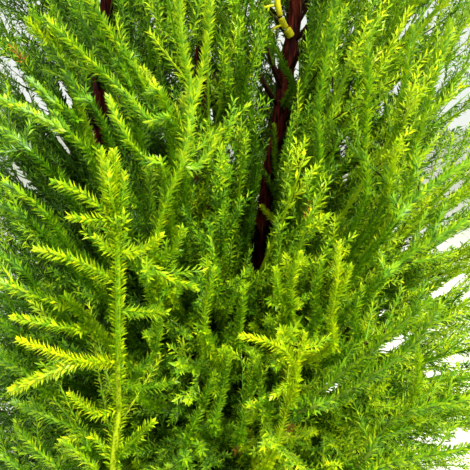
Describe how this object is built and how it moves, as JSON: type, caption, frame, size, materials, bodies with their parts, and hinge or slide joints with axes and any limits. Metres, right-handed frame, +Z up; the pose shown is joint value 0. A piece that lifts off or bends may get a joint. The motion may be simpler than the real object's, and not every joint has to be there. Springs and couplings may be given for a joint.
{
  "type": "potted lemon cypress",
  "caption": "Bushy, feathery evergreen in a plain clay pot: slender red-brown stems from one root, short boughs, and lemon-green foliage in plumes that fan out and up to pointed tops.",
  "frame": {"origin": "centre of the pot's flat underside, where it stands", "axes": "+Z up along the plant's height, -Y towards the picture's camera (the front), +X to the right as seen from the front"},
  "size_m": [0.3487, 0.3237, 0.647],
  "materials": {
    "clay": "matt unglazed clay, brown-orange",
    "compost": "dark, crumbly potting compost",
    "bark": "red-brown bark with fine peeling streaks",
    "foliage": "soft lemon-green needles in feathery sprays"
  },
  "bodies": {
    "root": {"bough_belt_1": "bark", "bough_belt_2": "bark", "bough_belt_3": "bark", "bough_belt_4": "bark", "bough_belt_5": "bark", "bough_belt_6": "bark", "bough_belt_7": "bark", "bough_skirt_1": "bark", "bough_skirt_2": "bark", "bough_skirt_3": "bark", "bough_skirt_4": "bark", "bough_skirt_5": "bark", "bough_skirt_6": "bark", "bough_skirt_7": "bark", "bough_skirt_8": "bark", "compost": "compost", "foliage_belt_1": "foliage", "foliage_belt_2": "foliage", "foliage_belt_3": "foliage", "foliage_belt_4": "foliage", "foliage_belt_5": "foliage", "foliage_belt_6": "foliage", "foliage_belt_7": "foliage", "foliage_shoulder_1": "foliage", "foliage_shoulder_2": "foliage", "foliage_shoulder_3": "foliage", "foliage_shoulder_4": "foliage", "foliage_shoulder_5": "foliage", "foliage_shoulder_6": "foliage", "foliage_skirt_1": "foliage", "foliage_skirt_2": "foliage", "foliage_skirt_3": "foliage", "foliage_skirt_4": "foliage", "foliage_skirt_5": "foliage", "foliage_skirt_6": "foliage", "foliage_skirt_7": "foliage", "foliage_skirt_8": "foliage", "foliage_spire_left_1": "foliage", "foliage_spire_left_2": "foliage", "foliage_spire_middle_1": "foliage", "foliage_spire_middle_2": "foliage", "foliage_spire_middle_3": "foliage", "foliage_spire_right_1": "foliage", "foliage_spire_right_2": "foliage", "pot": "clay", "stem_left": "bark", "stem_middle": "bark", "stem_right": "bark"}
  },
  "joints": []
}
